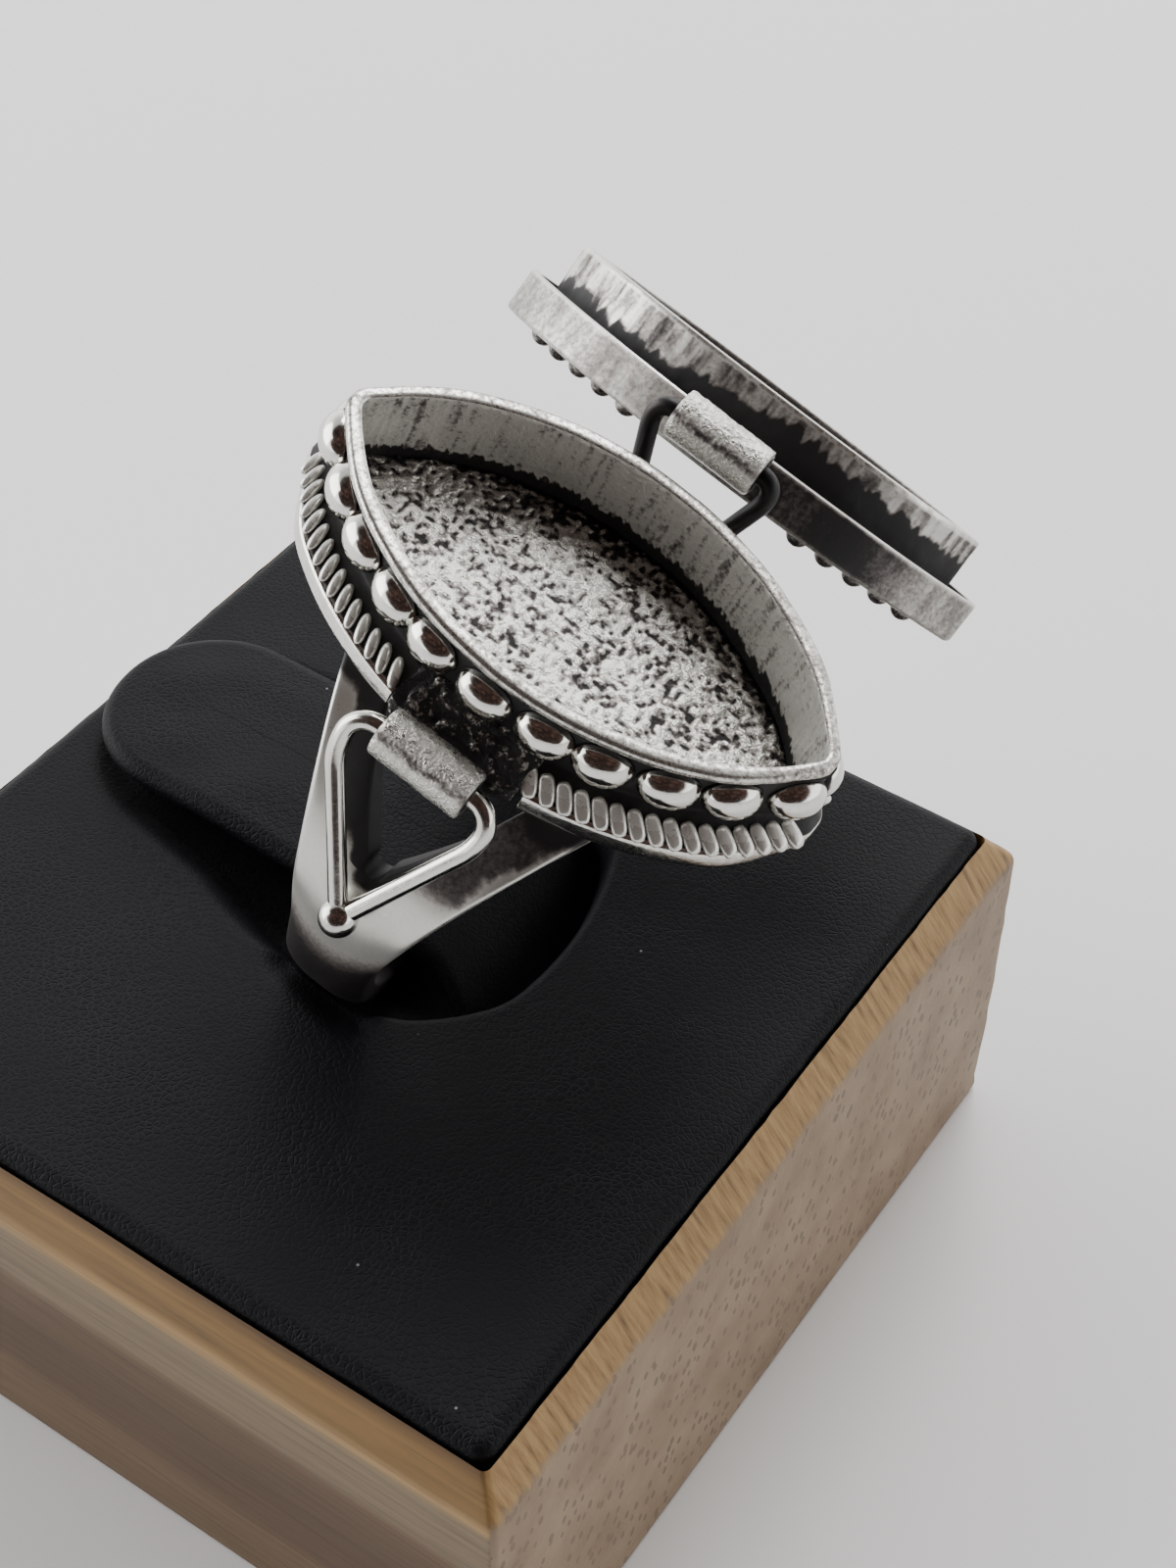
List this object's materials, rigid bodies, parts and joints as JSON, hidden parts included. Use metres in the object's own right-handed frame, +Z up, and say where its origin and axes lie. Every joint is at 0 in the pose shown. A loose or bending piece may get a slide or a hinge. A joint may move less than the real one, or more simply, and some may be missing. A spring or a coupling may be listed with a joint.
{
  "type": "poison ring on a display block",
  "caption": "Antique silver poison ring with a pointed oval box, hinged lid open and wire clasp, standing on a bamboo block with a leather pad.",
  "frame": {"origin": "middle of the block's underside", "axes": "+Z up out of the block; +X along the block's front edge to the right, the way the ring leans; +Y to the back, where the lid hangs"},
  "size_m": [0.041, 0.0461, 0.0432],
  "materials": {
    "antique_silver": "satin, blackened in the recesses",
    "lid_silver": "satin, blackened in the recesses",
    "clasp_silver": "polished wire",
    "bamboo": "bare laminated bamboo",
    "black_leather": "fine pebble grain"
  },
  "bodies": {
    "stand": {"bamboo_block": "bamboo", "leather_pad": "black_leather", "ring_body": "antique_silver"},
    "lid": {"lid": "lid_silver"},
    "clasp": {"clasp": "clasp_silver"}
  },
  "joints": [
    {"name": "lid_hinge", "type": "hinge", "parent": "stand", "child": "lid", "pos_m": [0.0077, 0.0132, 0.03953], "axis": [0.9282, 0.0405, -0.3697], "range_deg": [0, 222]},
    {"name": "clasp_swing", "type": "hinge", "parent": "stand", "child": "clasp", "pos_m": [0.00615, -0.00427, 0.03508], "axis": [-0.9282, -0.0405, 0.3697], "range_deg": [0, 165]}
  ]
}
